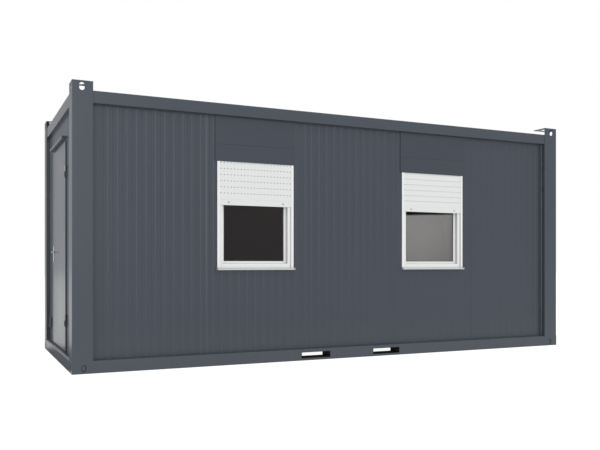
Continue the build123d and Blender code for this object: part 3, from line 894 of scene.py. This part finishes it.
def headCover(x, s):
    # two flat plates over the window, folded back at their sides
    y0, y1, face = coverLow.y, coverLow.y + s["lip"], coverLow.y + s["fold"]
    joint = windowHigh + s["joint"]
    made = []
    for low, high in ((windowHigh, joint - s["gap"]), (joint + s["gap"], coverHigh.z)):
        made.append(softBox((x - coverHalf, y0, low), (x + coverHalf, y1, high), 0.0012))
        for side in (-1, 1):
            edge, inner = x + side * coverHalf, x + side * (coverHalf - 0.003)
            made.append(softBox((edge, y1 - 0.001, low), (inner, face, high), 0.0005, 1))
    return made


def shutterBox(x, s):
    # the box inside the wall that holds the rolled slats, with the lid for reaching them
    y0, y1 = coverLow.y + s["boxInset"], coverLow.y + s["fold"] + s["boxDepth"]
    low, high = windowHigh + 0.001, windowHigh + s["joint"] - 0.001
    half = windowHalf - 0.001
    return [softBox((x - half, y0, low), (x + half, y1, high), 0.004),
            softBox((x - half + 0.02, y1 - 0.003, low + 0.015), (x + half - 0.02, y1, high - 0.015), 0.002)]


def forBoth(maker, s):
    # the same parts at both windows
    return [part for x in windowCentres for part in maker(x, s)]


makePiece("windowFrames", forBoth(windowFrame, window), [windowPlastic, rebatePlastic],
          ["window_frames"])
makePiece("shutterGuides", forBoth(guides, window), [windowPlastic, greyPlastic])
makePiece("windowSashes", forBoth(windowSash, window), [windowPlastic, blackRubber, rebatePlastic],
          ["window_sashes"])
panes, spacers = zip(*(windowPanes(x, window) for x in windowCentres))
makePiece("windowPanes", panes[0] + panes[1], [glassPane], ["window_glass"])
makePiece("paneSpacers", list(spacers), [greyPlastic])
makePiece("shutterSlats", forBoth(slats, shutter), [shutterPaint, blackRubber],
          ["shutter_curtains"])
makePiece("shutterEndBars", forBoth(endBar, shutter), [shutterPaint, greyPlastic])
makePiece("windowSills", forBoth(windowSill, sill), [sillMetal, greyPlastic], ["window_sills"])
makePiece("headCovers", forBoth(headCover, cover), [coverPaint], ["shutter_boxes"])
makePiece("shutterBoxes", forBoth(shutterBox, cover), [windowPlastic])
print("windows ready")

# door: leaf of two folded skins, lever set, hinge caps, seal and threshold

door = {
    "skin": 0.020,
    "edge": 0.003,
    "core": 0.003,
    "leverLength": 0.122,
    "neckRadius": 0.009,
    "leverHalf": (0.0055, 0.0085),    # half its depth and half its height
    "plateEdge": 0.003,
    "plateScrew": 0.012,    # from the plate's ends
    "lockDrop": 0.072,
    "lockRadius": 0.0085,
    "lockHalf": (0.0028, 0.005, 0.020),    # the cylinder's body: proud of the plate, half its width, its drop
    "sealWidth": 0.010,
    "sealDepth": 0.0054,
    "sealInset": 0.004,
}
leafLow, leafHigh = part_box("door_leaf")
plateLow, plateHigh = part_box("door_lever_plates")
leverLow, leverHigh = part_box("door_lever")
jointPlace = {joint["name"]: joint["pos_m"] for joint in frame["joints"]}
leverPlace, swing = jointPlace["lever_turn"], jointPlace["door_swing"]


def doorLeaf(s):
    # an outer and an inner tray with rounded edges, and a slightly smaller core between them
    core = s["core"]
    return [softBox(leafLow, (leafLow.x + s["skin"], leafHigh.y, leafHigh.z), s["edge"]),
            softBox((leafHigh.x - s["skin"], leafLow.y, leafLow.z), leafHigh, s["edge"]),
            softBox((leafLow.x + 0.01, leafLow.y + core, leafLow.z + core),
                    (leafHigh.x - 0.01, leafHigh.y - core, leafHigh.z - core), 0.0005, 1, 1)]


def leverPlates(s):
    # a rounded plate on each face, with a lock cylinder below the lever and a screw near each end
    made = []
    middle = (plateLow.y + plateHigh.y) / 2
    lock = leverPlace[2] - s["lockDrop"]
    r = s["lockRadius"]
    proud, half, drop = s["lockHalf"]
    for outer, face, side in ((plateLow.x, leafLow.x, -1), (plateHigh.x, leafHigh.x, 1)):
        made.append(softBox((outer, plateLow.y, plateLow.z), (face, plateHigh.y, plateHigh.z),
                            s["plateEdge"], 3))
        made.append(turned([(r, -0.002 * side), (r, 0.002 * side), (r - 0.0007, proud * side)],
                           (outer, middle, lock), 0, 20))
        made.append(softBox((outer - proud, middle - half, lock - drop), (outer + proud, middle + half, lock),
                            0.002))
        # the keyway is a small black box, a painted shade for the slot
        keyway = outer + side * 0.0024
        made.append(softBox((keyway - 0.0006, middle - 0.0009, lock - 0.005),
                            (keyway + 0.0008, middle + 0.0009, lock + 0.005), 0.0003, 1, 1))
        for level in (plateLow.z + s["plateScrew"], plateHigh.z - s["plateScrew"]):
            made.append(turned([(0.0042, -0.001 * side), (0.0038, 0.0008 * side), (0.0015, 0.0013 * side)],
                               (outer, middle, level), 0, 14))
    return made


def lever(s):
    # on each side a round neck, then a grip: flattened ovals carried along its length, closing at the tip
    made = []
    y, z = leverPlace[1], leverPlace[2]
    t = np.linspace(0, 1, 25)[:, None]
    angle = np.linspace(0, 2 * math.pi, 20, endpoint=False)
    close = np.sqrt(np.clip(1 - (2 * np.abs(t - 0.5)) ** 14, 0.0004, 1))
    for end, side in ((leverLow.x, 1), (leverHigh.x, -1)):
        root = plateLow.x if side == 1 else plateHigh.x
        neck = s["neckRadius"]
        made.append(turned([(neck * 1.5, root - side * 0.0003), (neck * 1.5, root - side * 0.003),
                            (neck, root - side * 0.006), (neck * 0.85, end + side * 0.012),
                            (neck * 0.8, end + side * 0.004)], (0, y, z), 0, 20))
        deep, tall = s["leverHalf"]
        swell = 1 + 0.18 * np.cos(2 * math.pi * t)
        rings = np.stack([end + side * deep + close * deep * np.cos(angle),
                          y + neck - t * (s["leverLength"] + neck) + 0 * angle,
                          z + close * swell * tall / 1.18 * np.sin(angle)], -1)
        made.append(skin(rings))
    return made


def doorSeal(s):
    # a rubber strip round the rebate, against the inside of the leaf
    w, deep = s["sealWidth"], s["sealDepth"]
    start = s["sealInset"]
    sections = inset(start, start, 0, [(0, 0), (w, 0), (w * 0.8, -deep * 0.7), (w * 0.4, -deep),
                                       (0, -deep * 0.5)])
    centre = (leafHigh.x + 0.006, (leafLow.y + leafHigh.y) / 2, (leafLow.z + leafHigh.z) / 2 + 0.005)
    half = (leafHigh.y - leafLow.y) / 2, (leafHigh.z - leafLow.z) / 2 - 0.006
    return rectangleRing(sections, centre, half, 0)


makePiece("doorLeaf", doorLeaf(door), [doorPaint, greyPlastic], ["door_leaf"], "door")
makePiece("leverPlates", leverPlates(door), [brightMetal, blackRubber], ["door_lever_plates"],
          "door")
makePiece("leverHandles", lever(door), [brightMetal], ["door_lever"], "lever")
makePiece("doorSeal", [doorSeal(door)], [blackRubber])

hinge = {
    "tall": 0.118,
    "barrel": 0.009,
    "capHeight": 0.003,
    "flap": 0.004,              # thickness on the leaf
    "screwRadius": 0.0036,
    "screwPlace": (0.029, 0.012),    # from the pin, and above the middle of the hinge
    "screwSpread": 0.036,
}
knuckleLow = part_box("door_hinges_frame_half")[0]
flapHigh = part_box("door_hinges_leaf_half")[1]
hingeLevels = (knuckleLow.z + hinge["tall"] / 2, flapHigh.z - hinge["tall"] / 2)


def cap(level, upward, s):
    # a low dome on the end of the pin
    r, h = s["barrel"] * 0.92, s["capHeight"] * upward
    dome = [(r, level - h * 0.4), (r, level + h * 0.3), (r * 0.8, level + h * 0.8), (r * 0.3, level + h)]
    return turned(dome, (swing[0], swing[1], 0), 2, 16)


def screws(x, y, levels, s):
    # round heads, one above another
    r = s["screwRadius"]
    return [turned([(r, x + 0.0005), (r * 0.9, x - 0.0008), (r * 0.35, x - 0.0011)], (0, y, z), 0, 12)
            for z in levels]


doorCaps, frameCaps = [], []
for level in hingeLevels:
    doorCaps.append(cap(level + hinge["tall"] / 2, 1, hinge))
    lower = level + hinge["screwPlace"][1]
    doorCaps += screws(leafLow.x - hinge["flap"], swing[1] + hinge["screwPlace"][0],
                       (lower, lower + hinge["screwSpread"]), hinge)
    frameCaps.append(cap(level - hinge["tall"] / 2, -1, hinge))
makePiece("hingeCapsDoor", doorCaps, [hingeMetal], body="door")
# the frame half's caps take the dark wall paint too, as painted shade
makePiece("hingeCapsFrame", frameCaps, [panelPaint])

threshold = {"thick": 0.002, "side": 0.024, "ribs": 5, "ribHeight": 0.0012, "ribHalf": 0.0008,
             "ribInset": 0.004}
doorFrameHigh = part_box("door_frame")[1]
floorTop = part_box("floor_deck")[1].z


def thresholdPlate(s):
    # a ribbed aluminium strip on the sill of the doorway
    x0, x1 = leafHigh.x + 0.0125, doorFrameHigh.x - 0.0005
    y0, y1 = leafLow.y + s["side"], leafHigh.y - s["side"]
    top, half, end = floorTop + s["thick"], s["ribHalf"], s["ribInset"]
    made = [softBox((x0, y0, floorTop), (x1, y1, top), 0.0006, 1)]
    for x in np.linspace(x0 + end, x1 - end, s["ribs"]):
        made.append(softBox((x - half, y0 + end, top - 0.0005), (x + half, y1 - end, top + s["ribHeight"]),
                            0.0005, 1))
    return made


makePiece("thresholdPlate", thresholdPlate(threshold), [sillMetal])

serviceBox = {"rim": 0.010, "recess": 0.004, "edge": 0.002, "lidGap": 0.0008, "screwRadius": 0.003,
              "screwInset": 0.008}


def buildServiceBox(s):
    # a flat box with a raised rim, a recessed lid and four screws
    low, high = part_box("service_box")
    centre = (low.x, (low.y + high.y) / 2, (low.z + high.z) / 2)
    half = (high.y - low.y) / 2, (high.z - low.z) / 2
    rim, e, deep = s["rim"], s["edge"], high.x - low.x
    sections = inset(0, 0, 0, [(0, deep), (0, e), (e * 0.3, e * 0.3), (e, 0), (rim - e / 2, 0), (rim, e / 2),
                               (rim, deep)])
    start, r, recess = rim + s["lidGap"], s["screwRadius"], s["recess"]
    lid = softBox((low.x + recess, low.y + start, low.z + start),
                  (high.x, high.y - start, high.z - start), 0.001)
    wide, tall = half[0] - rim - s["screwInset"], half[1] - rim - s["screwInset"]
    heads = [turned([(r, recess + 0.0005), (r * 0.9, recess - 0.0008), (r * 0.4, recess - 0.001)],
                    (low.x, centre[1] + a * wide, centre[2] + b * tall), 0, 12, 1)
             for a in (-1, 1) for b in (-1, 1)]
    return [rectangleRing(sections, centre, half, 0), lid] + heads


makePiece("serviceBox", buildServiceBox(serviceBox), [panelPaint, brightMetal],
          ["service_box"])
print("door ready")

# roof sheet: trapezoid ribs that run across the cabin between the lips of the top rails

roof = {"ribPitch": 0.25, "crown": 0.034, "slope": 0.014, "height": 0.014, "sheet": 0.0015, "margin": 0.004,
        "postGap": 0.001}


def roofSheet(s):
    # a trapezoid wave carried across the cabin, with a cell left out at each post
    lip = topRail["inset"] + topRail["lip"] + s["margin"]
    x0, x1 = lowEnd.x + lip, highEnd.x - lip
    y0, y1 = lowEnd.y + lip, highEnd.y - lip
    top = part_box("roof_deck")[1].z
    middles = np.arange(x0 + s["ribPitch"] / 2, x1 - s["crown"], s["ribPitch"])
    half = s["crown"] / 2
    across = (middles[:, None] + np.array([-half - s["slope"], -half, half, half + s["slope"]])).ravel()
    rise = np.tile([0, s["height"], s["height"], 0], len(middles))
    across = np.concatenate([[x0], across, [x1]])
    depth = -np.concatenate([[0], rise, [0]]) - s["sheet"]
    gapX, gapY = postAlong + s["postGap"], postAcross + s["postGap"]
    notchX = np.array([lowEnd.x + gapX, highEnd.x - gapX])
    notchY = np.array([lowEnd.y + gapY, highEnd.y - gapY])
    lines = np.concatenate([across, notchX])
    order = np.argsort(lines, kind="stable")
    depth = np.concatenate([depth, np.interp(notchX, across, depth)])[order]
    lines = lines[order]
    up = np.array([y0, notchY[0], notchY[1], y1])
    keep = np.ones((len(lines) - 1, 3), bool)
    middle = (lines[1:] + lines[:-1]) / 2
    outside = (middle < notchX[0]) | (middle > notchX[1])
    keep[outside, ::2] = False
    return slab(lines[:, None], up[None, :], depth[:, None], depth[:, None] + s["sheet"], keep,
                lambda u, v, d: np.stack([u, v, top - d], -1))


makePiece("roofSheet", [roofSheet(roof)], [roofCoat], smoothUnder=10)
print("roof ready")

# floor of the studio


def buildFloor(s):
    # white paper that glows evenly for the camera; for other rays it glows less beside the cabin's end, a painted
    # shade
    mesh = bpy.data.meshes.new("floor")
    reach = s["floorReach"]
    mesh.from_pydata([(-reach, -reach, 0), (reach, -reach, 0), (reach, reach, 0), (-reach, reach, 0)], [],
                     [(0, 1, 2, 3)])
    material, tree, shader = newMaterial("floorPaper")
    place = node(tree, "TexCoord").outputs["Object"]
    away = node(tree, "VectorMath", {0: place, 1: (*s["shadePlace"], 0)}, operation="DISTANCE")
    # painted shade: the glow that other rays see falls off near the cabin's end, as if the cabin shaded it
    shade = node(tree, "MapRange", {"Value": away, "From Min": s["shadeReach"][0],
                                    "From Max": s["shadeReach"][1], "To Min": s["shadeGlow"],
                                    "To Max": s["floorFill"]}, interpolation_type="SMOOTHSTEP")
    glow = node(tree, "MapRange", {"Value": node(tree, "LightPath"), "To Min": shade,
                                   "To Max": s["floorGlow"]})
    plug(tree, shader, {"Base Color": (*(s["floorWhite"],) * 3, 1), "Roughness": 0.9,
                        "Specular IOR Level": 0.0, "Emission Color": (1, 1, 1, 1), "Emission Strength": glow})
    mesh.materials.append(material)
    addObject("floor", mesh)


buildFloor(studio)
